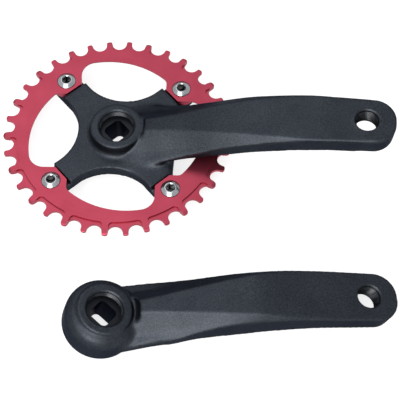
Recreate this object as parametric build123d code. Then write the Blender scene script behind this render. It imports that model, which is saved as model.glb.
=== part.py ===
from build123d import *
import os
from math import atan2, cos, degrees, hypot, radians, sin, sqrt, tan

# Square-taper bicycle crankset laid out outboard side up: the right arm with its
# four-arm spider, chainring and chainring bolts, and the loose left arm beside it.
#
# Frame: millimetres, +Z up and outboard. The origin is the centre of the right arm's
# spindle socket at its inboard face, which lies on the surface the parts rest on.
# +X runs along the right arm towards its pedal hole.

# ---- driving dimensions -------------------------------------------------------------
CRANK_LENGTH = 152.0          # spindle axis to pedal axis
BOSS_DEPTH = 26.5             # boss, inboard face to outboard face
BOSS_RADIUS = 16.3            # outboard face of the boss
BOSS_NECK_RADIUS = 17.5       # inboard end of the right boss
BOSS_RIM = 0.6                # small chamfer on both ends of the right boss
BOSS_FLARE = 4.5              # radius of the curve from the spider up to the boss
BOSS_FLARE_SINK = 0.5         # how far that curve starts below the spider's top
PEDAL_RISE = 26.0             # boss outboard face up to the pedal eye's outboard face
PEDAL_EYE_THICKNESS = 13.0
PEDAL_THREAD_RADIUS = 7.14    # 9/16 inch
PEDAL_THREAD_CHAMFER = 0.8

EXTRACTOR_RADIUS = 11.0       # M22 x 1
EXTRACTOR_DEPTH = 6.5
EXTRACTOR_CHAMFER = 0.9
SOCKET_FLATS = 12.7           # square across flats at its outboard, narrow end
SOCKET_TAPER = 2.0            # degrees on each flat
SOCKET_CORNER_RADIUS = 3.0

BOLT_CIRCLE_RADIUS = 52.0     # 104 mm bolt circle
BOLT_ANGLES = (45, 135, 225, 315)
SPIDER_BOTTOM = 8.0           # heights above the origin
TAB_TOP = 13.0
SPIDER_TOP = 17.0
SPIDER_ARM_HALF_WIDTH = 8.5
SPIDER_WAIST_RADIUS = 24.8    # nearest the axis that the hollows between the arms come
SPIDER_SHOULDER = 43.4        # where a spider arm steps down to its tab
WEB_EDGE = 36.8               # straight outer edge of the web below the right arm
WEB_RISER_HALF_WIDTH = 17.0   # the web rises into the arm's underside over this width
WEB_RISER = (20.0, 20.5)      # where that riser starts along the arm, and its height
TAB_END_RADIUS = 8.8
TAB_ROOT = 6.0                # how far a tab runs back inside its spider arm

RING_THICKNESS = 4.0
RING_TEETH = 34
CHAIN_PITCH = 12.7
RING_TIP_RADIUS = 71.3
RING_BODY_RADIUS = 62.8       # the narrow teeth are recessed outside this
NARROW_TOOTH_THICKNESS = 2.0
RECESS_HALF_ANGLE = 8.9       # a narrow tooth's recess reaches the wide teeth on both sides
RECESS_FILLET = 2.4
ROLLER_SEAT_RADIUS = 4.6
ROLLER_SEAT_SHIFT = 0.5       # the seat is centred this far outside the pitch circle
TOOTH_FLANK_ANGLE = 10.0      # degrees from the gap's centre line
TOOTH_FLANK_END = 70.35       # how far out along the gap's centre line the flanks run
TOOTH_TIP_CHAMFER = 1.4
TOOTH_TIP_SLOPE = 2.0         # how far in from the tip that chamfer starts
RING_TAB_INNER = 44.2         # flat inner end of each ring tab
RING_TAB_HALF_WIDTH = 5.8
WINDOW_SHALLOW = (49.8, 12.3)    # radius, and angle past the bolt, of each window's narrow end
WINDOW_MIDDLE = (53.3, 41.0)
WINDOW_DEEP = (57.4, 74.4)
WINDOW_SHALLOW_FILLET = 4.5
WINDOW_DEEP_FILLET = 9.5
WINDOW_EDGE = 0.8             # thickness left at a window's edge by the bevel on the back
WINDOW_BEVEL = 34.0           # degrees of that bevel from upright
RING_SEAT_RADIUS = 10.0       # full thickness is kept this far round each bolt
RING_TAB_FILLET = 1.2

BOLT_HEAD_RADIUS = 5.75
BOLT_HEAD_THICKNESS = 2.8
BOLT_HEAD_SEAT_DEPTH = 1.0
BOLT_HEAD_RIM = 1.2           # upright part of the head, below its cone
BOLT_CROWN_RADIUS = 3.5       # flat on top of the head
BOLT_SHANK_RADIUS = 3.95
BOLT_LENGTH = 7.5
BOLT_BORE_RADIUS = 2.2
HEX_FLATS = 5.0               # takes a 5 mm key
HEX_DEPTH = 6.2
HEX_MOUTH_RADIUS = 3.15       # of the countersink at the hexagon's mouth
HEX_MOUTH_DEPTH = 0.6
NUT_SLEEVE_RADIUS = 4.97
NUT_BORE_RADIUS = 4.0
NUT_FLANGE_RADIUS = 7.0
NUT_FLANGE_THICKNESS = 2.0
NUT_SEAT_DEPTH = 1.2
NUT_LENGTH = 8.2
NUT_SLOT_WIDTH = 2.0
NUT_SLOT_DEPTH = 1.0
SLEEVE_HOLE_RADIUS = 5.05
SEAT_CLEARANCE = 0.25         # round a bolt head or nut flange in its counterbore

LEFT_ARM_PLACE = (8.1, -125.6)   # left spindle axis at the boss's outboard face
LEFT_ARM_HEADING = 10.0          # degrees, anticlockwise from the right arm
LEFT_DRUM_RADIUS = 22.0
LEFT_FOOT_RADIUS = 17.0          # flat of the drum's inboard face
LEFT_BOSS_RIM = 0.5
LEFT_BOSS_STEP = 2.2             # boss face stands this far above the drum
LEFT_SHOULDER = (17.3, -2.5)     # radius and height where the drum's slope starts
LEFT_SIDE_TOP = -11.0            # heights between which the drum's side is upright
LEFT_SIDE_LOW = -19.0

# Round relief cut into each arm about its boss: gap and spread beyond the boss's radius
# at the bottom and top of the cut, then the cut's depth and height about the boss face.
RIGHT_RELIEF = (0.6, 1.8, 2.0, 6.0)
LEFT_RELIEF = (3.0, 3.6, LEFT_BOSS_STEP, 12.0)

ARM_SIDE_DRAFT = 1.0             # each side leans in by this much down to the inboard face
ARM_END_OFFSET = 3.9             # the end's two corners are centred this far past the pedal hole
ARM_END_FLAT = 1.4               # and this far to each side of the arm's centre line
ARM_SECTION_STEP = 4.0
FLANK_CREASE = 0.62              # where a hollow flank is deepest, as a share of its width

# Cross-sections of each arm, measured from its boss's outboard face: distance along the
# arm, height and half width of the top face, height and half width of the shoulder
# where the sloping flank meets the side, height of the inboard face, and the depth of
# the hollow in the flank.
ARM_END_SECTION = (
    CRANK_LENGTH + ARM_END_OFFSET, PEDAL_RISE, 14.4, PEDAL_RISE - 0.9, 15.4,
    PEDAL_RISE - PEDAL_EYE_THICKNESS, 0.0,
)
RIGHT_SECTIONS = (
    (-8.0, -8.0, 4.0, -11.0, 18.5, -18.5, 0.0),
    (4.0, -2.0, 4.0, -10.2, 21.5, -18.5, 1.2),
    (18.0, 3.6, 4.0, -9.0, 22.6, -17.5, 1.6),
    (32.0, 7.6, 5.1, -4.4, 21.2, -7.5, 1.4),
    (46.0, 11.6, 7.3, 0.8, 19.3, -4.6, 0.9),
    (64.0, 16.8, 10.1, 9.1, 17.9, 0.2, 0.2),
    (82.0, 20.8, 12.3, 15.8, 17.7, 5.4, 0.0),
    (100.0, 23.4, 14.3, 20.2, 17.2, 9.0, 0.0),
    (122.0, 24.9, 15.5, 24.0, 16.4, 11.6, 0.0),
    ARM_END_SECTION,
)
LEFT_SECTIONS = (
    (-4.0, -1.5, 3.0, -14.0, 19.4, -21.0, 2.0),
    (12.0, 2.4, 3.2, -11.2, 20.3, -18.6, 3.2),
    (26.0, 7.0, 4.3, -5.4, 19.6, -13.3, 2.0),
    (40.0, 11.6, 6.4, -0.2, 18.8, -8.5, 0.8),
    (54.0, 16.1, 8.3, 7.8, 17.2, -4.4, 0.2),
    (70.0, 20.8, 10.5, 16.0, 16.3, -1.2, 0.0),
    (88.0, 24.8, 13.0, 21.2, 16.2, 4.3, 0.0),
    (106.0, 25.6, 14.7, 24.3, 16.0, 8.6, 0.0),
    (126.0, 26.0, 14.9, 25.2, 15.9, 11.8, 0.0),
    ARM_END_SECTION,
)

RING_PITCH_RADIUS = CHAIN_PITCH / 2 / sin(radians(180 / RING_TEETH))
TOOTH_PITCH = 360 / RING_TEETH
FIRST_WIDE_TOOTH = BOLT_ANGLES[1] - 3.25 * TOOTH_PITCH


def polar(radius, angle):
    """A point in plan, from a radius and an angle in degrees."""
    return Vector(radius * cos(radians(angle)), radius * sin(radians(angle)))


def drum(radius, low, high, at=(0, 0)):
    """A vertical cylinder between two heights."""
    return Pos(at[0], at[1], (low + high) / 2) * Cylinder(radius, high - low)


def cone(radius_low, radius_high, low, high, at=(0, 0)):
    """A vertical cone between two heights."""
    return Pos(at[0], at[1], (low + high) / 2) * Cone(radius_low, radius_high, high - low)


def turned(*edges):
    """A solid of revolution about Z from a closed chain of edges given as (radius, height)."""
    return revolve(Plane.XZ * make_face(Curve() + list(edges)), Axis.Z)


# ---- the arms -----------------------------------------------------------------------
def blend_slopes(xs, ys):
    """Slope at each knot of a smooth curve that never overshoots its knots."""
    rises = [(ys[i + 1] - ys[i]) / (xs[i + 1] - xs[i]) for i in range(len(xs) - 1)]
    slopes = [rises[0]] + [0.0] * (len(xs) - 2) + [rises[-1]]
    for i in range(1, len(xs) - 1):
        if rises[i - 1] * rises[i] > 0:
            before = xs[i] - xs[i - 1]
            after = xs[i + 1] - xs[i]
            weight = 2 * after + before
            other = after + 2 * before
            slopes[i] = (weight + other) / (weight / rises[i - 1] + other / rises[i])
    return slopes


def blended_rows(rows):
    """The cross-sections with smooth in-between ones every few millimetres."""
    xs = [row[0] for row in rows]
    columns = [[row[k] for row in rows] for k in range(1, len(rows[0]))]
    slopes = [blend_slopes(xs, column) for column in columns]
    count = round((xs[-1] - xs[0]) / ARM_SECTION_STEP)
    result = []
    for j in range(count + 1):
        x = xs[0] + (xs[-1] - xs[0]) * j / count
        i = max(k for k in range(len(xs) - 1) if xs[k] <= x + 1e-9)
        span = xs[i + 1] - xs[i]
        t = (x - xs[i]) / span
        row = [x]
        for ys, ms in zip(columns, slopes):
            value = ys[i] * (1 + 2 * t) * (1 - t) ** 2 + ys[i + 1] * t * t * (3 - 2 * t)
            value += span * (ms[i] * t * (1 - t) ** 2 - ms[i + 1] * t * t * (1 - t))
            row.append(value)
        result.append(tuple(row))
    return result


def half_outline(row):
    """One side of a cross-section, as (distance from the centre line, height) points."""
    x, top, plateau, shoulder, width, bottom, hollow = row
    crease = plateau + FLANK_CREASE * (width - plateau)
    crease_height = top + FLANK_CREASE * (shoulder - top) - hollow
    return [(plateau, top), (crease, crease_height), (width, shoulder),
            (width - ARM_SIDE_DRAFT, bottom)]


def section_face(row):
    """One eight-sided cross-section of an arm."""
    half = half_outline(row)
    corners = [(row[0], y, z) for y, z in half]
    corners += [(row[0], -y, z) for y, z in reversed(half)]
    return Face(Wire.make_polygon(corners, close=True))


def arm_end(row):
    """The rounded end: the last cross-section carried round two corners and straight across."""
    x = row[0]
    half = half_outline(row)
    outline = [(ARM_END_FLAT, half[0][1])] + half + [(ARM_END_FLAT, half[-1][1])]
    face = Face(Wire.make_polygon([(x, y, z) for y, z in outline], close=True))
    corner = revolve(face, Axis((x, ARM_END_FLAT, 0), (0, 0, -1)), 90)
    across = [(x + y - ARM_END_FLAT, -ARM_END_FLAT, z) for y, z in outline]
    bridge = extrude(Face(Wire.make_polygon(across, close=True)), amount=2 * ARM_END_FLAT, dir=(0, 1, 0))
    return corner + bridge + mirror(corner, Plane.XZ)


def arm_blank(sections):
    """The forged arm before its boss is added and its holes are cut."""
    body = loft([section_face(row) for row in blended_rows(sections)])
    return body + arm_end(sections[-1])


def pedal_hole():
    """The pedal thread and its two chamfers, to be cut from an arm."""
    low = PEDAL_RISE - PEDAL_EYE_THICKNESS
    high = PEDAL_RISE
    at = (CRANK_LENGTH, 0)
    wide = PEDAL_THREAD_RADIUS + PEDAL_THREAD_CHAMFER
    hole = drum(PEDAL_THREAD_RADIUS, low - 1, high + 1, at)
    hole += cone(wide, PEDAL_THREAD_RADIUS, low, low + PEDAL_THREAD_CHAMFER, at)
    hole += cone(PEDAL_THREAD_RADIUS, wide, high - PEDAL_THREAD_CHAMFER, high, at)
    return hole


def spindle_hole():
    """The extractor thread and the tapered square socket, below the boss face at z = 0."""
    step = -EXTRACTOR_DEPTH
    hole = drum(EXTRACTOR_RADIUS, step, 1)
    hole += cone(EXTRACTOR_RADIUS, EXTRACTOR_RADIUS + EXTRACTOR_CHAMFER, -EXTRACTOR_CHAMFER, 0)
    depth = BOSS_DEPTH - EXTRACTOR_DEPTH
    wide_flats = SOCKET_FLATS + 2 * depth * tan(radians(SOCKET_TAPER))
    narrow = RectangleRounded(SOCKET_FLATS, SOCKET_FLATS, SOCKET_CORNER_RADIUS)
    wide = RectangleRounded(wide_flats, wide_flats, SOCKET_CORNER_RADIUS)
    socket = loft([Pos(0, 0, -BOSS_DEPTH) * Rot(0, 0, 45) * wide, Pos(0, 0, step) * Rot(0, 0, 45) * narrow])
    return hole + socket


def spider_plan():
    """Plan of the spider out to the shoulders: a square with round bites, and a web by the arm."""
    reach = sqrt(2) / 2
    bite_centre = (SPIDER_WAIST_RADIUS - SPIDER_ARM_HALF_WIDTH) / (1 - reach)
    bite_radius = bite_centre - SPIDER_WAIST_RADIUS
    plan = Rot(0, 0, 45) * Rectangle(2 * SPIDER_SHOULDER, 2 * SPIDER_SHOULDER)
    for angle in (90, 180, 270):
        plan -= Pos(polar(bite_centre, angle)) * Circle(bite_radius)
    return plan - Pos(WEB_EDGE + SPIDER_SHOULDER, 0) * Rectangle(2 * SPIDER_SHOULDER, 2 * SPIDER_SHOULDER)


def web_riser():
    """The block that carries the web up into the arm's underside."""
    start, top = WEB_RISER
    plan = Pos((start + WEB_EDGE) / 2, 0) * Rectangle(WEB_EDGE - start, 2 * WEB_RISER_HALF_WIDTH)
    return Pos(0, 0, SPIDER_BOTTOM) * extrude(plan, top - SPIDER_BOTTOM)


def spider():
    """The four spider arms with the thinner tabs that carry the chainring."""
    body = Pos(0, 0, SPIDER_BOTTOM) * extrude(spider_plan(), SPIDER_TOP - SPIDER_BOTTOM)
    for angle in BOLT_ANGLES:
        centre = polar(BOLT_CIRCLE_RADIUS, angle)
        root = SPIDER_SHOULDER - TAB_ROOT
        strip = Rectangle(BOLT_CIRCLE_RADIUS - root, 2 * TAB_END_RADIUS)
        tab = Pos((BOLT_CIRCLE_RADIUS + root) / 2, 0) * strip
        tab += Pos(BOLT_CIRCLE_RADIUS, 0) * Circle(TAB_END_RADIUS)
        body += Pos(0, 0, SPIDER_BOTTOM) * Rot(0, 0, angle) * extrude(tab, TAB_TOP - SPIDER_BOTTOM)
        body -= drum(SLEEVE_HOLE_RADIUS, SPIDER_BOTTOM - 1, TAB_TOP + 1, (centre.X, centre.Y))
        body -= drum(NUT_FLANGE_RADIUS + SEAT_CLEARANCE, SPIDER_BOTTOM - 1,
                     SPIDER_BOTTOM + NUT_SEAT_DEPTH, (centre.X, centre.Y))
    return body


def right_boss():
    """The round boss, flared out to the spider and necked at its inboard end."""
    flare_foot = (BOSS_RADIUS + BOSS_FLARE, SPIDER_TOP - BOSS_FLARE_SINK)
    foot = Polyline((0, 0), (BOSS_NECK_RADIUS - BOSS_RIM, 0), (BOSS_NECK_RADIUS, BOSS_RIM),
                    (BOSS_NECK_RADIUS, SPIDER_BOTTOM + 1), flare_foot)
    flare = JernArc(flare_foot, (-1, 0.0), BOSS_FLARE, -90)
    face = Polyline((BOSS_RADIUS, flare_foot[1] + BOSS_FLARE), (BOSS_RADIUS, BOSS_DEPTH - BOSS_RIM),
                    (BOSS_RADIUS - BOSS_RIM, BOSS_DEPTH), (0, BOSS_DEPTH), (0, 0))
    return turned(foot, flare, face)


def relief(sizes, face):
    """The round cut that frees a boss at the given face height from its arm."""
    gap, spread, depth, height = sizes
    return cone(BOSS_RADIUS + gap, BOSS_RADIUS + spread, face - depth, face + height)


def right_crank_arm():
    """Right arm, spider and boss in one forging, with its holes."""
    blank = Pos(0, 0, BOSS_DEPTH) * arm_blank(RIGHT_SECTIONS)
    blank -= relief(RIGHT_RELIEF, BOSS_DEPTH)
    body = right_boss() + spider() + web_riser() + blank
    body -= Pos(0, 0, BOSS_DEPTH) * (pedal_hole() + spindle_hole())
    return body


def left_drum():
    """The left arm's round root, with the boss face standing on it."""
    side_top = (LEFT_DRUM_RADIUS, LEFT_SIDE_TOP)
    side_low = (LEFT_DRUM_RADIUS, LEFT_SIDE_LOW)
    foot = (LEFT_FOOT_RADIUS, -BOSS_DEPTH)
    face = Polyline((0, -BOSS_DEPTH), (0, 0), (BOSS_RADIUS - LEFT_BOSS_RIM, 0),
                    (BOSS_RADIUS, -LEFT_BOSS_RIM), (BOSS_RADIUS, -LEFT_BOSS_STEP), LEFT_SHOULDER)
    slope = Spline(LEFT_SHOULDER, side_top, tangents=[(1, -0.35), (0, -1)])
    side = Line(side_top, side_low)
    under = Spline(side_low, foot, tangents=[(0, -1), (-1, -0.3)])
    base = Line(foot, (0, -BOSS_DEPTH))
    return turned(face, slope, side, under, base)


def left_tip():
    """How far the loose arm leans: it lies on the rim of its drum and its pedal end."""
    drop = BOSS_DEPTH + PEDAL_RISE - PEDAL_EYE_THICKNESS
    end_radius = ARM_END_SECTION[4] - ARM_SIDE_DRAFT - ARM_END_FLAT
    run = ARM_END_SECTION[0] + end_radius - LEFT_FOOT_RADIUS
    return atan2(drop, run)


def left_place():
    """Where the left arm's boss face lies, as a location."""
    tip = left_tip()
    height = BOSS_DEPTH * cos(tip) + LEFT_FOOT_RADIUS * sin(tip)
    x, y = LEFT_ARM_PLACE
    return Pos(x, y, height) * Rot(0, 0, LEFT_ARM_HEADING) * Rot(0, degrees(tip), 0)


def left_crank_arm():
    """The loose left arm, lying on its drum and pedal end."""
    blank = arm_blank(LEFT_SECTIONS)
    blank -= relief(LEFT_RELIEF, 0)
    body = blank + left_drum()
    body -= pedal_hole() + spindle_hole()
    return left_place() * body


# ---- the chainring ------------------------------------------------------------------
def tooth_plan():
    """Outline of the toothed rim: roller seats joined by straight flanks and round tips."""
    lean = radians(TOOTH_FLANK_ANGLE)
    centre = RING_PITCH_RADIUS + ROLLER_SEAT_SHIFT
    touch_x = centre - ROLLER_SEAT_RADIUS * sin(lean)
    touch_y = ROLLER_SEAT_RADIUS * cos(lean)
    tip_x = TOOTH_FLANK_END
    tip_y = touch_y + (tip_x - touch_x) * tan(lean)
    seat_x = centre - ROLLER_SEAT_RADIUS
    edges = []
    for tooth in range(RING_TEETH):
        turn = FIRST_WIDE_TOOTH + (tooth + 0.5) * TOOTH_PITCH
        place = Rot(0, 0, turn)
        next_place = Rot(0, 0, turn + TOOTH_PITCH)
        low = (place * Pos(tip_x, -tip_y)).position
        low_touch = (place * Pos(touch_x, -touch_y)).position
        bottom = (place * Pos(seat_x, 0)).position
        high_touch = (place * Pos(touch_x, touch_y)).position
        high = (place * Pos(tip_x, tip_y)).position
        next_low = (next_place * Pos(tip_x, -tip_y)).position
        middle = polar(RING_TIP_RADIUS, turn + TOOTH_PITCH / 2)
        edges += [Line(low, low_touch), ThreePointArc(low_touch, bottom, high_touch)]
        edges += [Line(high_touch, high), ThreePointArc(high, middle, next_low)]
    return make_face(Curve() + edges)


def window_plan():
    """The opening inside the ring: four tapering windows joined past the tab ends."""
    edges = []
    for angle in BOLT_ANGLES:
        tab_start = (Rot(0, 0, angle) * Pos(RING_TAB_INNER, -RING_TAB_HALF_WIDTH)).position
        tab_stop = (Rot(0, 0, angle) * Pos(RING_TAB_INNER, RING_TAB_HALF_WIDTH)).position
        next_start = (Rot(0, 0, angle + 90) * Pos(RING_TAB_INNER, -RING_TAB_HALF_WIDTH)).position
        shallow, middle, deep = (polar(radius, angle + past) for radius, past in
                                 (WINDOW_SHALLOW, WINDOW_MIDDLE, WINDOW_DEEP))
        edges += [Line(tab_start, tab_stop), Line(tab_stop, shallow)]
        edges += [ThreePointArc(shallow, middle, deep), Line(deep, next_start)]
    plan = make_face(Curve() + edges)
    tab_corner = hypot(RING_TAB_INNER, RING_TAB_HALF_WIDTH)
    rounds = ((WINDOW_SHALLOW[0], WINDOW_SHALLOW_FILLET), (WINDOW_DEEP[0], WINDOW_DEEP_FILLET),
              (tab_corner, RING_TAB_FILLET))
    for radius, fillet_radius in rounds:
        corners = [v for v in plan.vertices() if abs(Vector(v.X, v.Y).length - radius) < 0.1]
        plan = fillet(corners, fillet_radius)
    return plan


def window_bevel(plan, bottom):
    """The bevel on the back of the ring's windows, clear of the seats round the bolts."""
    depth = RING_THICKNESS - WINDOW_EDGE
    wide = offset(plan, depth * tan(radians(WINDOW_BEVEL)))
    bevel = Pos(0, 0, bottom) * extrude(wide, depth, taper=WINDOW_BEVEL)
    for angle in BOLT_ANGLES:
        centre = polar(BOLT_CIRCLE_RADIUS, angle)
        bevel -= drum(RING_SEAT_RADIUS, bottom - 1, bottom + RING_THICKNESS, (centre.X, centre.Y))
    return bevel


def tooth_recess(depth):
    """Plan of one narrow tooth's recess, with round inner corners, as a plate about +X."""
    far = 2 * RING_TIP_RADIUS
    wedge = make_face(Polyline((0, 0), polar(far, -RECESS_HALF_ANGLE), polar(far, RECESS_HALF_ANGLE), (0, 0)))
    plan = (Circle(RING_TIP_RADIUS + 2) - Circle(RING_BODY_RADIUS)) & wedge
    inner = [v for v in plan.vertices() if Vector(v.X, v.Y).length < RING_BODY_RADIUS + 1]
    return extrude(fillet(inner, RECESS_FILLET), depth)


def chainring():
    """Narrow-wide chainring: every second tooth is thinned and recessed on both faces."""
    bottom = SPIDER_TOP - RING_THICKNESS
    top = SPIDER_TOP
    windows = window_plan()
    ring = Pos(0, 0, bottom) * extrude(tooth_plan() - windows, RING_THICKNESS)
    ring -= window_bevel(windows, bottom)
    slope = TOOTH_TIP_SLOPE
    rim = Polyline((0, bottom), (RING_TIP_RADIUS - slope, bottom),
                   (RING_TIP_RADIUS + 0.1, bottom + TOOTH_TIP_CHAMFER),
                   (RING_TIP_RADIUS + 0.1, top - TOOTH_TIP_CHAMFER),
                   (RING_TIP_RADIUS - slope, top), (0, top), (0, bottom))
    ring = ring & turned(rim)
    recess = (RING_THICKNESS - NARROW_TOOTH_THICKNESS) / 2
    pocket = tooth_recess(recess)
    for tooth in range(1, RING_TEETH, 2):
        turn = Rot(0, 0, FIRST_WIDE_TOOTH + tooth * TOOTH_PITCH)
        ring -= Pos(0, 0, top - recess) * turn * pocket
        ring -= Pos(0, 0, bottom) * turn * pocket
    for angle in BOLT_ANGLES:
        centre = polar(BOLT_CIRCLE_RADIUS, angle)
        at = (centre.X, centre.Y)
        ring -= drum(SLEEVE_HOLE_RADIUS, bottom - 1, top + 1, at)
        ring -= drum(BOLT_HEAD_RADIUS + SEAT_CLEARANCE, top - BOLT_HEAD_SEAT_DEPTH, top + 1, at)
    return ring


# ---- chainring bolts ----------------------------------------------------------------
def chainring_bolt(angle):
    """Hollow bolt with a coned head and a hexagon socket, head outboard."""
    seat = SPIDER_TOP - BOLT_HEAD_SEAT_DEPTH
    crown = seat + BOLT_HEAD_THICKNESS
    head = Polyline((0, seat), (BOLT_HEAD_RADIUS, seat), (BOLT_HEAD_RADIUS, seat + BOLT_HEAD_RIM),
                    (BOLT_CROWN_RADIUS, crown), (0, crown), (0, seat))
    body = turned(head) + drum(BOLT_SHANK_RADIUS, seat - BOLT_LENGTH, seat)
    body -= cone(HEX_FLATS / 2, HEX_MOUTH_RADIUS, crown - HEX_MOUTH_DEPTH, crown)
    hexagon = RegularPolygon(HEX_FLATS / 2, 6, major_radius=False)
    body -= Pos(0, 0, crown - HEX_DEPTH) * extrude(hexagon, HEX_DEPTH)
    body -= drum(BOLT_BORE_RADIUS, seat - BOLT_LENGTH - 1, crown)
    centre = polar(BOLT_CIRCLE_RADIUS, angle)
    return Pos(centre.X, centre.Y) * Rot(0, 0, angle) * body


def chainring_nut(angle):
    """Sleeve nut: the sleeve passes through tab and ring, the slotted flange seats behind."""
    seat = SPIDER_BOTTOM + NUT_SEAT_DEPTH
    low = seat - NUT_FLANGE_THICKNESS
    body = drum(NUT_FLANGE_RADIUS, low, seat) + drum(NUT_SLEEVE_RADIUS, low, low + NUT_LENGTH)
    body -= drum(NUT_BORE_RADIUS, low - 1, low + NUT_LENGTH + 1)
    slot = Box(3 * NUT_FLANGE_RADIUS, NUT_SLOT_WIDTH, 2 * NUT_SLOT_DEPTH)
    body -= Pos(0, 0, low) * slot
    centre = polar(BOLT_CIRCLE_RADIUS, angle)
    return Pos(centre.X, centre.Y) * Rot(0, 0, angle) * body


def crankset():
    """Every sub-part by its node name."""
    parts = {
        "right_crank_arm": right_crank_arm(),
        "chainring": chainring(),
        "left_crank_arm": left_crank_arm(),
    }
    for number, angle in enumerate(BOLT_ANGLES, start=1):
        parts["chainring_bolt_%d" % number] = chainring_bolt(angle)
        parts["chainring_nut_%d" % number] = chainring_nut(angle)
    return parts


os.makedirs("parts", exist_ok=True)
for name, shape in crankset().items():
    export_step(shape, "parts/%s.step" % name)
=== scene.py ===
import bpy
import bmesh
from math import atan2, cos, hypot, pi, radians, sin, tan
from mathutils import Matrix, Vector


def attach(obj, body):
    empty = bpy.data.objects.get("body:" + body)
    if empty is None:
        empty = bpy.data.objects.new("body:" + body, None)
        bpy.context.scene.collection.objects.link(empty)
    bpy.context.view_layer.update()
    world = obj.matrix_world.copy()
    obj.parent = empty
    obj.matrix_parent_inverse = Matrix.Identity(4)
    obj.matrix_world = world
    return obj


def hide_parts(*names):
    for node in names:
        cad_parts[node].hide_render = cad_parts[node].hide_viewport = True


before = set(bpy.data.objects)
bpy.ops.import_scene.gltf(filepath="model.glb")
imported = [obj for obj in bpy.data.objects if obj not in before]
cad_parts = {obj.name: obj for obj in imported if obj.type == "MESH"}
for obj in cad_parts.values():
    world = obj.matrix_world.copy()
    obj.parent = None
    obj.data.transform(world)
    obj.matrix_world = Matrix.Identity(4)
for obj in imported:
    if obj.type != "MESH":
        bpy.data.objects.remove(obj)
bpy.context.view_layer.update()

MM = 0.001

# ---- camera, floor and light --------------------------------------------------------------
CAMERA_TARGET = (0.0554, -0.0431, 0.017)
CAMERA_DISTANCE = 0.824
CAMERA_AZIMUTH = 4.9          # degrees
CAMERA_ELEVATION = 60.61
CAMERA_ROLL = -0.12
CAMERA_LENS = 122.2           # mm
CAMERA_SENSOR = 36            # mm, its width
CAMERA_NEAR = 0.05
CAMERA_FAR = 20
FLOOR_REACH = 4.0
FLOOR_DROP = 0.0001           # keeps the floor clear of the faces that lie on it
FLOOR_GLOW = 0.75             # the floor's own light, which thins out the shadows on it
SKY_COLOUR = (0.95, 0.97, 1.0, 1)
SKY_STRENGTH = 0.88
WHITE = (1, 1, 1)
SOFT_BOXES = (                # name, azimuth, elevation, distance, size, watts, colour
    ("key", -25, 66, 1.3, 1.0, 9, WHITE),
    ("front", -12, 34, 1.4, 0.8, 17, (1.0, 0.96, 0.88)),
    ("back_left", 205, 59, 1.3, 0.5, 1.8, WHITE),
)

# ---- sizes repeated from the CAD model, in mm ---------------------------------------------
BOSS_DEPTH = 26.5
BOSS_RADIUS = 16.3
CRANK_LENGTH = 152.0
PEDAL_RISE = 26.0
PEDAL_EYE_THICKNESS = 13.0
PEDAL_THREAD_RADIUS = 7.14
PEDAL_THREAD_CHAMFER = 0.8
EXTRACTOR_RADIUS = 11.0
EXTRACTOR_DEPTH = 6.5
EXTRACTOR_CHAMFER = 0.9
SOCKET_FLATS = 12.7
SOCKET_TAPER = 2.0            # degrees on each side
SOCKET_CORNER = 3.0
BOLT_CIRCLE = 52.0            # radius
BOLT_ANGLES = (45, 135, 225, 315)
TAB_LOW = 8.0
TAB_TOP = 13.0
SLEEVE_HOLE = 5.05
NUT_SEAT_RADIUS = 7.25
NUT_SEAT_DEPTH = 1.2
BOLT_FOOT = 8.5               # height of the shank's end
BOLT_SEAT = 16.0              # underside of a bolt's head
BOLT_CONE_FOOT = 17.2         # height where the head's cone starts
BOLT_CROWN = 18.8
BOLT_HEAD = 5.75
BOLT_CROWN_RADIUS = 3.5
BOLT_SHANK = 3.95
BOLT_BORE = 2.2
HEX_FLATS = 5.0
HEX_DEPTH = 6.2
HEX_MOUTH_RADIUS = 3.15
HEX_MOUTH_DEPTH = 0.6
LEFT_PLACE = (8.1, -125.6)
LEFT_HEADING = 10.0
LEFT_FOOT = 17.0
LEFT_END_REACH = 168.9        # spindle axis to the lowest corner of the pedal end

# ---- how the forged arms are rebuilt, in mm ------------------------------------------------
ARM_VOXEL = 0.7
ARM_SMOOTHING = 8             # passes over the whole arm
ARM_SHARP = 38                # degrees from which an edge stays crisp
MELT_SMOOTHING = 70           # extra passes where each arm flows into its root
RIGHT_MELT = ((29.0, -3.0, -8.0), (24.0, 31.0, 11.0))    # centre and half sizes, in the arm's frame
LEFT_MELT = ((22.0, -10.0, -8.0), (16.0, 16.0, 12.0))
MELT_EASE = 0.35              # outer share of that region where the extra passes fade out
MELT_BOSS_CLEARANCE = 1.0     # the boss's own edge is left crisp
MELT_BOSS_EASE = 2.5          # distance past that over which the extra passes rise to full
PLUG_MARGIN = 0.3
OVERSHOOT = 2.0               # how far a cutter stands out of the hole that it cuts
SHORT_OVERSHOOT = 1.0         # the same where less is enough
SOCKET_OVERLAP = 0.5          # of the socket's cutter with the bore's
CORNER_STEPS = 8              # steps round each of the socket's corners
SOCKET_SHADE_FADE = 2.0             # depth over which the painted shade in the socket reaches its darkest
HOLE_MARGIN = 0.05            # added to a hole's radius to find the points on its wall
PEDAL_HOLE_PAINTED_SHADE = 0.45    # share of the painted shade's colour inside the pedal hole
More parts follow.
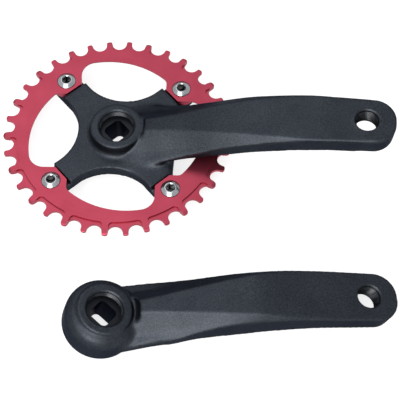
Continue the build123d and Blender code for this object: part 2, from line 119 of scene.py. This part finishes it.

# ---- threads, bolts, ring and nuts, in mm -------------------------------------------------
EXTRACTOR_THREAD = (EXTRACTOR_RADIUS, 0.54, 1.0)         # bore radius, thread height, pitch
PEDAL_THREAD = (PEDAL_THREAD_RADIUS, 0.62, 1.27)
RIGHT_HANDED = 1
LEFT_HANDED = -1
THREAD_ROWS = 10              # rows of points for each turn
THREAD_ROOT_LIFT = 0.02       # how far the thread's root stands off the bore
THREAD_BURIAL = 0.05          # how far behind the bore the sleeve's back lies
THREAD_CREST_SHARE = 0.6      # share of the thread's height over which the crest's painted highlight fades into the root's painted shade
THREAD_SHARP = 50             # degrees
BOLT_EDGE = 0.15              # chamfer under the head
CONE_FOOT_EASE = ((0, -0.2), (-0.05, -0.05), (-0.2, 0.11))      # offsets out and up from the edge
CROWN_EASE = ((0.2, -0.16), (0.05, -0.06), (-0.1, -0.02))       # the same at the cone's top
HEX_EASE = 0.1                # from the hexagon's flats out to the mouth's cone
BOLT_FLOOR_DROP = 0.05        # the mouth's floor sinks this much towards the bore
BOLT_SHARP = 32
HEX_SHADE_START = 0.1         # below the crown, where painted shade on the hexagon's walls starts
HEX_SHADE_DEPTH = 0.9         # depth over which that painted shade reaches its darkest
EDGE_SOFTNESS = 0.18          # bevel on the ring's and nuts' edges
EDGE_SHARP = 38
FLAT_ANGLE = 0.6              # degrees within which two faces count as one
WELD_DISTANCE = 1e-6          # metres
ROUND = 96                    # points round a turned shape

# ---- colours ------------------------------------------------------------------------------
BLACK_TONES = ((0.027, 0.0307, 0.038), (0.0353, 0.040, 0.0483))
BLACK_SPECKLE = ((0.72, 0.72, 0.72), (1.32, 1.32, 1.32))            # multiplied with the tones
# painted highlight along the arms' sharp edges
BLACK_EDGE_HIGHLIGHT = (0.075, 0.080, 0.088)
# painted shade inside the arms' socket and pedal hole
BLACK_PAINTED_SHADE = (0.020, 0.022, 0.026)
BLACK_GLANCE = (0.38, 0.38, 0.40, 1)                                # reflection at a flat angle
# painted shade at the threads' roots, and a painted highlight along their crests
THREAD_ROOT_SHADE_TONES = ((0.011, 0.012, 0.014), (0.018, 0.019, 0.022))
THREAD_CREST_HIGHLIGHT = (0.055, 0.059, 0.065)
RED_TONES = ((0.300, 0.040, 0.064), (0.340, 0.048, 0.076))
PLATE_TONES = ((0.30, 0.32, 0.33), (0.42, 0.43, 0.44))
# painted shade inside the bolts' hexagon sockets
PLATE_PAINTED_SHADE = (0.012, 0.013, 0.015)
FLOOR_TONES = ((0.31, 0.31, 0.314), (0.33, 0.33, 0.334))
EDGE_HIGHLIGHT_POINTINESS = (0.52, 0.60)      # pointiness at which the painted edge highlight starts and is full
EDGE_HIGHLIGHT_SHARE = 0.5                    # share of the painted highlight colour on the sharpest edges


# ---- mesh helpers -------------------------------------------------------------------------
def new_object(name, bm):
    mesh = bpy.data.meshes.new(name)
    bmesh.ops.recalc_face_normals(bm, faces=bm.faces)
    bm.to_mesh(mesh)
    bm.free()
    made = bpy.data.objects.new(name, mesh)
    bpy.context.scene.collection.objects.link(made)
    return made


def circle(radius, height, at=(0, 0), count=ROUND, start=0):
    """Points round a vertical axis, in mm."""
    turns = [start + 2 * pi * k / count for k in range(count)]
    return [(at[0] + radius * cos(a), at[1] + radius * sin(a), height) for a in turns]


def add_rings(bm, loops):
    """Vertices of a mesh for rings of points in mm."""
    return [[bm.verts.new(Vector(p) * MM) for p in loop] for loop in loops]


def bridge(bm, rings):
    """Faces between each ring of vertices and the next."""
    for low, high in zip(rings, rings[1:]):
        for k in range(len(low)):
            n = (k + 1) % len(low)
            bm.faces.new((low[k], low[n], high[n], high[k]))


def solid(loops):
    """A closed solid through rings of points that all have the same count."""
    bm = bmesh.new()
    rings = add_rings(bm, loops)
    bridge(bm, rings)
    bm.faces.new(list(reversed(rings[0])))
    bm.faces.new(rings[-1])
    return bm


def turned(profile, at=(0, 0)):
    """Closed solid of revolution through (radius, height) points, about a vertical axis."""
    return solid([circle(radius, height, at) for radius, height in profile])


def rounded_square(flats, height):
    """Corners rounded and pointing along X and Y."""
    half = flats / 2 - SOCKET_CORNER
    turn = pi / 4
    ring = []
    for corner in range(4):
        cx = half * (1 if corner in (0, 3) else -1)
        cy = half * (1 if corner in (0, 1) else -1)
        for step in range(CORNER_STEPS + 1):
            a = pi / 2 * corner + pi / 2 * step / CORNER_STEPS
            x, y = cx + SOCKET_CORNER * cos(a), cy + SOCKET_CORNER * sin(a)
            ring.append((x * cos(turn) - y * sin(turn), x * sin(turn) + y * cos(turn), height))
    return ring


def placed(bm, matrix):
    """The mesh, moved by a matrix."""
    bmesh.ops.transform(bm, matrix=matrix, verts=bm.verts)
    return bm


def cad_copy(node):
    """A welded copy of a CAD node's mesh."""
    bm = bmesh.new()
    bm.from_mesh(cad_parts[node].data)
    bmesh.ops.remove_doubles(bm, verts=bm.verts, dist=WELD_DISTANCE)
    return bm


def apply_modifiers(obj):
    graph = bpy.context.evaluated_depsgraph_get()
    mesh = bpy.data.meshes.new_from_object(obj.evaluated_get(graph))
    obj.modifiers.clear()
    obj.data = mesh


def cut_away(obj, name, cutter):
    """Takes a closed mesh away from an object."""
    tool = new_object(name, cutter)
    cut = obj.modifiers.new("cut", "BOOLEAN")
    cut.operation = "DIFFERENCE"
    cut.solver = "EXACT"
    cut.object = tool
    apply_modifiers(obj)
    bpy.data.objects.remove(tool)


def smoothing(obj, passes, group=""):
    smooth = obj.modifiers.new("soften", "SMOOTH")
    smooth.factor = 0.5
    smooth.iterations = passes
    smooth.vertex_group = group


def shade_smooth(obj):
    for polygon in obj.data.polygons:
        polygon.use_smooth = True


def shade_curved(obj, sharp):
    """Smooth shading that keeps edges crisp from an angle in degrees."""
    shade_smooth(obj)
    obj.data.set_sharp_from_angle(angle=radians(sharp))


def shade_mask(obj, rule):
    """A per-point mask of painted shade, by which a material darkens recesses against the skin, or a
    thread's root against its painted crest highlight.
    """
    mask = obj.data.attributes.new("painted_shade", "FLOAT", "POINT")
    for vertex in obj.data.vertices:
        mask.data[vertex.index].value = rule(vertex.co / MM)


def clamped(value):
    return min(1, max(0, value))


# ---- where things are ---------------------------------------------------------------------
def left_matrix():
    """The left arm's frame: boss face centre, leaning as it lies."""
    drop = BOSS_DEPTH + PEDAL_RISE - PEDAL_EYE_THICKNESS
    tip = atan2(drop, LEFT_END_REACH - LEFT_FOOT)
    height = BOSS_DEPTH * cos(tip) + LEFT_FOOT * sin(tip)
    move = Matrix.Translation(Vector((LEFT_PLACE[0], LEFT_PLACE[1], height)) * MM)
    return move @ Matrix.Rotation(radians(LEFT_HEADING), 4, "Z") @ Matrix.Rotation(tip, 4, "Y")


RIGHT_MATRIX = Matrix.Translation((0, 0, BOSS_DEPTH * MM))
LEFT_MATRIX = left_matrix()
PEDAL_PLACE = (CRANK_LENGTH, 0)
PEDAL_SPAN = (PEDAL_RISE - PEDAL_EYE_THICKNESS, PEDAL_RISE)    # heights of the eye's two faces


def bolt_places():
    return [(BOLT_CIRCLE * cos(radians(a)), BOLT_CIRCLE * sin(radians(a))) for a in BOLT_ANGLES]


# ---- arms ---------------------------------------------------------------------------------
def plugs():
    """Solids that fill an arm's machined holes while its skin is softened."""
    boss = EXTRACTOR_RADIUS + EXTRACTOR_CHAMFER + PLUG_MARGIN
    eye = PEDAL_THREAD_RADIUS + PEDAL_THREAD_CHAMFER + PLUG_MARGIN
    return [turned([(boss, -BOSS_DEPTH), (boss, 0)]),
            turned([(eye, PEDAL_SPAN[0]), (eye, PEDAL_SPAN[1])], PEDAL_PLACE)]


def spindle_cutters():
    """Extractor bore with its chamfer, and the tapered square below it."""
    r, c = EXTRACTOR_RADIUS, EXTRACTOR_CHAMFER
    bore = turned([(r, -EXTRACTOR_DEPTH), (r, -c), (r + c, 0), (r + c, OVERSHOOT)])
    reach = BOSS_DEPTH - EXTRACTOR_DEPTH + SHORT_OVERSHOOT
    wide = SOCKET_FLATS + 2 * reach * tan(radians(SOCKET_TAPER))
    socket = solid([rounded_square(wide, -BOSS_DEPTH - SHORT_OVERSHOOT),
                    rounded_square(SOCKET_FLATS, -EXTRACTOR_DEPTH + SOCKET_OVERLAP)])
    return [bore, socket]


def pedal_cutter():
    """Pedal hole with a chamfer at each face of the eye."""
    r, c = PEDAL_THREAD_RADIUS, PEDAL_THREAD_CHAMFER
    low, high = PEDAL_SPAN
    return turned([(r + c, low - OVERSHOOT), (r + c, low), (r, low + c),
                   (r, high - c), (r + c, high), (r + c, high + OVERSHOOT)], PEDAL_PLACE)


def tab_plugs():
    """Solids that fill the nut seats and sleeve holes in the spider's tabs."""
    r = NUT_SEAT_RADIUS + PLUG_MARGIN
    return [turned([(r, TAB_LOW), (r, TAB_TOP)], at) for at in bolt_places()]


def tab_cutters():
    """Nut seats and the sleeves' holes above them."""
    seat = TAB_LOW + NUT_SEAT_DEPTH
    return [turned([(NUT_SEAT_RADIUS, TAB_LOW - OVERSHOOT), (NUT_SEAT_RADIUS, seat),
                    (SLEEVE_HOLE, seat), (SLEEVE_HOLE, TAB_TOP + SHORT_OVERSHOOT)], at)
            for at in bolt_places()]


def melt_weights(obj, matrix, region):
    """A vertex group that is strongest in the middle of a region of the arm's frame."""
    centre, halves = region
    group = obj.vertex_groups.new(name="melt")
    back = matrix.inverted()
    for vertex in obj.data.vertices:
        at = back @ vertex.co / MM
        off = max(abs(at[k] - centre[k]) / halves[k] for k in range(3))
        away = hypot(at.x, at.y) - BOSS_RADIUS - MELT_BOSS_CLEARANCE
        if off < 1 and away > 0:
            ease = min((1 - off) / MELT_EASE, away / MELT_BOSS_EASE, 1)
            group.add([vertex.index], ease * ease * (3 - 2 * ease), "REPLACE")


def hole_painted_shade(at):
    """Painted shade: 0 on an arm's skin, rising to 1 inside its socket and, less darkly, its pedal hole.
    """
    if hypot(at.x, at.y) < EXTRACTOR_RADIUS + HOLE_MARGIN:
        return clamped((-EXTRACTOR_CHAMFER - at.z) / SOCKET_SHADE_FADE)
    if hypot(at.x - CRANK_LENGTH, at.y) < PEDAL_THREAD_RADIUS + HOLE_MARGIN:
        return PEDAL_HOLE_PAINTED_SHADE
    return 0


def forged_arm(name, node, matrix, region, extra_plugs, extra_cutters):
    """The arm's skin remeshed and softened, then its holes cut again with crisp edges."""
    bm = cad_copy(node)
    for plug in [placed(p, matrix) for p in plugs()] + extra_plugs:
        mesh = bpy.data.meshes.new("plug")
        bmesh.ops.recalc_face_normals(plug, faces=plug.faces)
        plug.to_mesh(mesh)
        plug.free()
        bm.from_mesh(mesh)
    arm = new_object(name, bm)
    remesh = arm.modifiers.new("skin", "REMESH")
    remesh.mode = "VOXEL"
    remesh.voxel_size = ARM_VOXEL * MM
    smoothing(arm, ARM_SMOOTHING)
    apply_modifiers(arm)
    melt_weights(arm, matrix, region)
    smoothing(arm, MELT_SMOOTHING, "melt")
    apply_modifiers(arm)
    arm.vertex_groups.clear()
    cutters = [placed(c, matrix) for c in spindle_cutters() + [pedal_cutter()]] + extra_cutters
    for k, cutter in enumerate(cutters):
        cut_away(arm, "%s_tool_%d" % (name, k), cutter)
    shade_curved(arm, ARM_SHARP)
    back = matrix.inverted()
    # painted shade inside the socket and pedal hole
    shade_mask(arm, lambda p: hole_painted_shade(back @ (p * MM) / MM))
    return arm


def thread_lining(name, thread, low, high, matrix, at, hand):
    """A thin closed sleeve whose inner face carries a helical thread."""
    radius, height, pitch = thread
    rows = int((high - low) / pitch * THREAD_ROWS)
    loops = []
    for j in range(rows + 1):
        z = low + (high - low) * j / rows
        fade = min(1, (z - low) / pitch, (high - z) / pitch)
        ring = []
        for k in range(ROUND):
            a = 2 * pi * k / ROUND
            phase = ((z - low) / pitch - hand * k / ROUND) % 1
            r = radius - THREAD_ROOT_LIFT - height * fade * (1 - abs(2 * phase - 1))
            ring.append((at[0] + r * cos(a), at[1] + r * sin(a), z))
        loops.append(ring)
    bm = bmesh.new()
    inner = add_rings(bm, loops)
    outer = add_rings(bm, [circle(radius + THREAD_BURIAL, z, at) for z in (low, high)])
    bridge(bm, [outer[0]] + inner + [outer[1], outer[0]])
    made = new_object(name, placed(bm, matrix))
    shade_curved(made, THREAD_SHARP)
    back = matrix.inverted()

    # painted shade rising from the crest, which keeps a painted highlight, down to the root
    def depth(p):
        local = back @ (p * MM) / MM
        from_crest = hypot(local.x - at[0], local.y - at[1]) - (radius - height)
        return clamped(from_crest / (height * THREAD_CREST_SHARE))
    shade_mask(made, depth)
    return made


# ---- ring, nuts and bolts -----------------------------------------------------------------
def softened(name, node):
    """A copy of a machined CAD piece with small broken edges and flat faces shaded flat."""
    bm = cad_copy(node)
    bmesh.ops.dissolve_limit(bm, angle_limit=radians(FLAT_ANGLE), verts=bm.verts, edges=bm.edges)
    made = new_object(name, bm)
    bevel = made.modifiers.new("edges", "BEVEL")
    bevel.width = EDGE_SOFTNESS * MM
    bevel.segments = 2
    bevel.limit_method = "ANGLE"
    bevel.angle_limit = radians(EDGE_SHARP)
    apply_modifiers(made)
    shade_smooth(made)
    weighted = made.modifiers.new("flat faces", "WEIGHTED_NORMAL")
    weighted.mode = "FACE_AREA"
    weighted.weight = 100
    apply_modifiers(made)
    return made


def plated_bolt(name, at, angle):
    """Chainring bolt: coned head with eased edges, hexagon socket and hollow shank."""
    mouth_floor = BOLT_CROWN - HEX_MOUTH_DEPTH
    outline = [(BOLT_SHANK, BOLT_FOOT), (BOLT_SHANK, BOLT_SEAT), (BOLT_HEAD - BOLT_EDGE, BOLT_SEAT),
               (BOLT_HEAD, BOLT_SEAT + BOLT_EDGE)]
    outline += [(BOLT_HEAD + out, BOLT_CONE_FOOT + up) for out, up in CONE_FOOT_EASE]
    outline += [(BOLT_CROWN_RADIUS + out, BOLT_CROWN + up) for out, up in CROWN_EASE]
    outline += [(HEX_MOUTH_RADIUS, BOLT_CROWN + CROWN_EASE[-1][1]),
                (HEX_FLATS / 2 + HEX_EASE, mouth_floor),
                (BOLT_BORE, mouth_floor - BOLT_FLOOR_DROP), (BOLT_BORE, BOLT_FOOT)]
    bm = bmesh.new()
    rings = add_rings(bm, [circle(radius, height, at) for radius, height in outline])
    bridge(bm, rings + rings[:1])
    bolt = new_object(name, bm)
    corner = HEX_FLATS / 2 / cos(pi / 6)
    start = radians(angle) + pi / 6
    heights = (BOLT_CROWN - HEX_DEPTH, BOLT_CROWN + SHORT_OVERSHOOT)
    cut_away(bolt, name + "_key", solid([circle(corner, z, at, 6, start) for z in heights]))
    shade_curved(bolt, BOLT_SHARP)

    # painted shade deepening down the hexagon's walls
    def depth(p):
        if hypot(p.x - at[0], p.y - at[1]) < corner + HOLE_MARGIN:
            return clamped((BOLT_CROWN - HEX_SHADE_START - p.z) / HEX_SHADE_DEPTH)
        return 0
    shade_mask(bolt, depth)
    return bolt


# ---- material helpers ---------------------------------------------------------------------
def nodes_of(name):
    """A new material, its node tree, its shader, and the object's own coordinates."""
    material = bpy.data.materials.new(name)
    material.use_nodes = True
    tree = material.node_tree
    place = add(tree, "ShaderNodeTexCoord").outputs["Object"]
    return material, tree, tree.nodes["Principled BSDF"], place


def add(tree, kind, **settings):
    node = tree.nodes.new(kind)
    for key, value in settings.items():
        setattr(node, key, value)
    return node


def noise(tree, vector, scale, detail):
    node = add(tree, "ShaderNodeTexNoise")
    node.inputs["Scale"].default_value = scale
    node.inputs["Detail"].default_value = detail
    tree.links.new(vector, node.inputs["Vector"])
    return node.outputs["Fac"]


def ramp(tree, fac, colours, low, high):
    """Blends from the first colour at low to the second at high."""
    node = add(tree, "ShaderNodeValToRGB")
    for stop, position, colour in zip(node.color_ramp.elements, (low, high), colours):
        stop.position = position
        stop.color = (*colour, 1)
    tree.links.new(fac, node.inputs["Fac"])
    return node.outputs["Color"]


def spread(tree, fac, low, high, start=0, end=1):
    """Maps a factor that runs from start to end onto low to high."""
    node = add(tree, "ShaderNodeMapRange")
    node.inputs["From Min"].default_value = start
    node.inputs["From Max"].default_value = end
    node.inputs["To Min"].default_value = low
    node.inputs["To Max"].default_value = high
    tree.links.new(fac, node.inputs["Value"])
    return node.outputs["Result"]


def feed(tree, source, target):
    """Sets an input from another node's output, or from an (r, g, b) colour."""
    if isinstance(source, tuple):
        target.default_value = (*source, 1)
    else:
        tree.links.new(source, target)


def mixed(tree, factor, first, second):
    """The first colour, changed over to the second as the factor rises."""
    node = add(tree, "ShaderNodeMix", data_type="RGBA")
    tree.links.new(factor, node.inputs["Factor"])
    feed(tree, first, node.inputs["A"])
    feed(tree, second, node.inputs["B"])
    return node.outputs["Result"]


def multiplied(tree, first, second):
    node = add(tree, "ShaderNodeMix", data_type="RGBA", blend_type="MULTIPLY")
    node.inputs["Factor"].default_value = 1
    tree.links.new(first, node.inputs["A"])
    tree.links.new(second, node.inputs["B"])
    return node.outputs["Result"]


# the per-point mask of painted shade
def painted_shade_mask(tree):
    return add(tree, "ShaderNodeAttribute", attribute_name="painted_shade").outputs["Fac"]


def bump(tree, shader, height, strength, distance):
    node = add(tree, "ShaderNodeBump")
    node.inputs["Strength"].default_value = strength
    node.inputs["Distance"].default_value = distance
    tree.links.new(height, node.inputs["Height"])
    tree.links.new(node.outputs["Normal"], shader.inputs["Normal"])


def metal(tree, shader, colour, roughness):
    shader.inputs["Metallic"].default_value = 1.0
    tree.links.new(colour, shader.inputs["Base Color"])
    tree.links.new(roughness, shader.inputs["Roughness"])


# ---- materials ----------------------------------------------------------------------------
def black_material():
    """Satin black over a blasted forging: fine grain, faint mottling, a painted highlight along sharp
    edges, and painted shade inside the socket and pedal hole.
    """
    material, tree, shader, place = nodes_of("blasted_black")
    grain = noise(tree, place, scale=1250, detail=4)
    mottle = noise(tree, place, scale=55, detail=4)
    skin = ramp(tree, mottle, BLACK_TONES, low=0.3, high=0.75)
    pointiness = add(tree, "ShaderNodeNewGeometry").outputs["Pointiness"]
    # painted highlight where the edges are sharp
    edge_highlight = spread(tree, pointiness, low=0, high=EDGE_HIGHLIGHT_SHARE, start=EDGE_HIGHLIGHT_POINTINESS[0], end=EDGE_HIGHLIGHT_POINTINESS[1])
    highlighted = mixed(tree, edge_highlight, skin, BLACK_EDGE_HIGHLIGHT)
    speckled = multiplied(tree, highlighted, ramp(tree, grain, BLACK_SPECKLE, low=0.32, high=0.68))
    # painted shade darkens the socket and pedal hole
    colour = mixed(tree, painted_shade_mask(tree), speckled, BLACK_PAINTED_SHADE)
    metal(tree, shader, colour, roughness=spread(tree, grain, low=0.40, high=0.54))
    shader.inputs["Specular Tint"].default_value = BLACK_GLANCE
    bump(tree, shader, grain, strength=0.32, distance=0.00016)
    return material


def thread_material():
    """Cut threads: shinier than the blasted skin, with painted shade making the roots darker than the skin
    and a painted highlight making the crests paler.
    """
    material, tree, shader, place = nodes_of("cut_thread")
    grain = noise(tree, place, scale=900, detail=3)
    root = ramp(tree, grain, THREAD_ROOT_SHADE_TONES, low=0.3, high=0.7)
    # painted highlight on the crests, painted shade at the roots
    colour = mixed(tree, painted_shade_mask(tree), THREAD_CREST_HIGHLIGHT, root)
    metal(tree, shader, colour, roughness=spread(tree, grain, low=0.32, high=0.42))
    shader.inputs["Specular Tint"].default_value = BLACK_GLANCE
    bump(tree, shader, grain, strength=0.05, distance=0.00004)
    return material


def red_material():
    """Red anodised aluminium with fine marks from turning."""
    material, tree, shader, place = nodes_of("anodised_red")
    split = add(tree, "ShaderNodeSeparateXYZ")
    tree.links.new(place, split.inputs[0])
    flat = add(tree, "ShaderNodeCombineXYZ")
    tree.links.new(split.outputs["X"], flat.inputs["X"])
    tree.links.new(split.outputs["Y"], flat.inputs["Y"])
    radius = add(tree, "ShaderNodeVectorMath", operation="LENGTH")
    tree.links.new(flat.outputs[0], radius.inputs[0])
    rings = add(tree, "ShaderNodeCombineXYZ")
    tree.links.new(radius.outputs["Value"], rings.inputs["X"])
    tree.links.new(split.outputs["Z"], rings.inputs["Z"])
    marks = noise(tree, rings.outputs[0], scale=2600, detail=3)
    cloud = noise(tree, place, scale=60, detail=3)
    colour = ramp(tree, cloud, RED_TONES, low=0.3, high=0.7)
    metal(tree, shader, colour, roughness=spread(tree, marks, low=0.32, high=0.48))
    bump(tree, shader, marks, strength=0.08, distance=0.00006)
    return material


def bright_material():
    """Bright plating with faint handling marks, and painted shade inside the hexagons."""
    material, tree, shader, place = nodes_of("bright_plate")
    scuffs = noise(tree, place, scale=420, detail=4)
    plate = ramp(tree, scuffs, PLATE_TONES, low=0.3, high=0.75)
    # painted shade inside the hexagons
    colour = mixed(tree, painted_shade_mask(tree), plate, PLATE_PAINTED_SHADE)
    metal(tree, shader, colour, roughness=spread(tree, scuffs, low=0.18, high=0.28))
    bump(tree, shader, scuffs, strength=0.012, distance=0.00002)
    return material


def floor_material():
    """Matt grey that shines by itself, and so looks near white."""
    material, tree, shader, place = nodes_of("pale_floor")
    cloud = noise(tree, place, scale=3, detail=2)
    tree.links.new(ramp(tree, cloud, FLOOR_TONES, low=0.3, high=0.7), shader.inputs["Base Color"])
    shader.inputs["Roughness"].default_value = 0.9
    shader.inputs["Specular IOR Level"].default_value = 0.1
    shader.inputs["Emission Color"].default_value = (*WHITE, 1)
    shader.inputs["Emission Strength"].default_value = FLOOR_GLOW
    return material


def paint(obj, material):
    obj.data.materials.clear()
    obj.data.materials.append(material)


# ---- the object ---------------------------------------------------------------------------
BLACK = black_material()
THREAD = thread_material()
RED = red_material()
BRIGHT = bright_material()


def take_over(obj, node, body, material):
    """Shows an object in place of a CAD node."""
    paint(obj, material)
    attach(obj, body)
    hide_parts(node)


def thread_bores(side, body, matrix, pedal_hand):
    """The extractor's thread and the pedal's, each clear of its bore's chamfers."""
    mouth = thread_lining(side + "_extractor_thread", EXTRACTOR_THREAD,
                          -EXTRACTOR_DEPTH, -EXTRACTOR_CHAMFER, matrix, (0, 0), RIGHT_HANDED)
    low, high = PEDAL_SPAN[0] + PEDAL_THREAD_CHAMFER, PEDAL_SPAN[1] - PEDAL_THREAD_CHAMFER
    eye = thread_lining(side + "_pedal_thread", PEDAL_THREAD, low, high,
                        matrix, PEDAL_PLACE, pedal_hand)
    for thread in (mouth, eye):
        paint(thread, THREAD)
        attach(thread, body)


right_arm = forged_arm("right_arm_forging", "right_crank_arm", RIGHT_MATRIX, RIGHT_MELT,
                       tab_plugs(), tab_cutters())
take_over(right_arm, "right_crank_arm", "right_crank", BLACK)
left_arm = forged_arm("left_arm_forging", "left_crank_arm", LEFT_MATRIX, LEFT_MELT, [], [])
take_over(left_arm, "left_crank_arm", "left_crank", BLACK)
thread_bores("right", "right_crank", RIGHT_MATRIX, RIGHT_HANDED)
thread_bores("left", "left_crank", LEFT_MATRIX, LEFT_HANDED)

take_over(softened("ring_machined", "chainring"), "chainring", "right_crank", RED)
for k, (at, angle) in enumerate(zip(bolt_places(), BOLT_ANGLES), start=1):
    bolt = plated_bolt("bolt_%d_plated" % k, at, angle)
    take_over(bolt, "chainring_bolt_%d" % k, "bolt_%d" % k, BRIGHT)
    nut = softened("nut_%d_plated" % k, "chainring_nut_%d" % k)
    take_over(nut, "chainring_nut_%d" % k, "nut_%d" % k, BRIGHT)


# ---- floor, light and camera --------------------------------------------------------------
def floor():
    bm = bmesh.new()
    bmesh.ops.create_grid(bm, x_segments=8, y_segments=8, size=FLOOR_REACH)
    made = new_object("pale_floor", bm)
    if made.data.polygons[0].normal.z < 0:
        made.data.flip_normals()
    made.location.z = -FLOOR_DROP
    paint(made, floor_material())


def sky():
    world = bpy.data.worlds.new("studio")
    world.use_nodes = True
    background = world.node_tree.nodes["Background"]
    background.inputs["Color"].default_value = SKY_COLOUR
    background.inputs["Strength"].default_value = SKY_STRENGTH
    bpy.context.scene.world = world


def outward(azimuth, elevation):
    """Direction from the object towards a light or the camera."""
    a, e = radians(azimuth), radians(elevation)
    return Vector((sin(a) * cos(e), -cos(a) * cos(e), sin(e)))


def soft_box(name, azimuth, elevation, distance, size, watts, colour):
    """A square soft box aimed at the middle of the object."""
    light = bpy.data.lights.new(name, "AREA")
    light.shape = "SQUARE"
    light.size = size
    light.energy = watts
    light.color = colour
    made = bpy.data.objects.new(name, light)
    bpy.context.scene.collection.objects.link(made)
    back = outward(azimuth, elevation)
    made.location = Vector(CAMERA_TARGET) + back * distance
    made.rotation_mode = "QUATERNION"
    made.rotation_quaternion = (-back).to_track_quat("-Z", "Y")


def camera():
    data = bpy.data.cameras.new("camera")
    data.lens = CAMERA_LENS
    data.sensor_width = CAMERA_SENSOR
    data.clip_start = CAMERA_NEAR
    data.clip_end = CAMERA_FAR
    made = bpy.data.objects.new("camera", data)
    bpy.context.scene.collection.objects.link(made)
    back = outward(CAMERA_AZIMUTH, CAMERA_ELEVATION)
    right = Vector((cos(radians(CAMERA_AZIMUTH)), sin(radians(CAMERA_AZIMUTH)), 0))
    up = back.cross(right)
    roll = radians(CAMERA_ROLL)
    turned_right = right * cos(roll) + up * sin(roll)
    turned_up = up * cos(roll) - right * sin(roll)
    place = Matrix((turned_right, turned_up, back)).transposed().to_4x4()
    place.translation = Vector(CAMERA_TARGET) + back * CAMERA_DISTANCE
    made.matrix_world = place
    bpy.context.scene.camera = made


floor()
sky()
for box in SOFT_BOXES:
    soft_box(*box)
bpy.context.scene.view_settings.view_transform = "Standard"
camera()

bpy.context.view_layer.update()
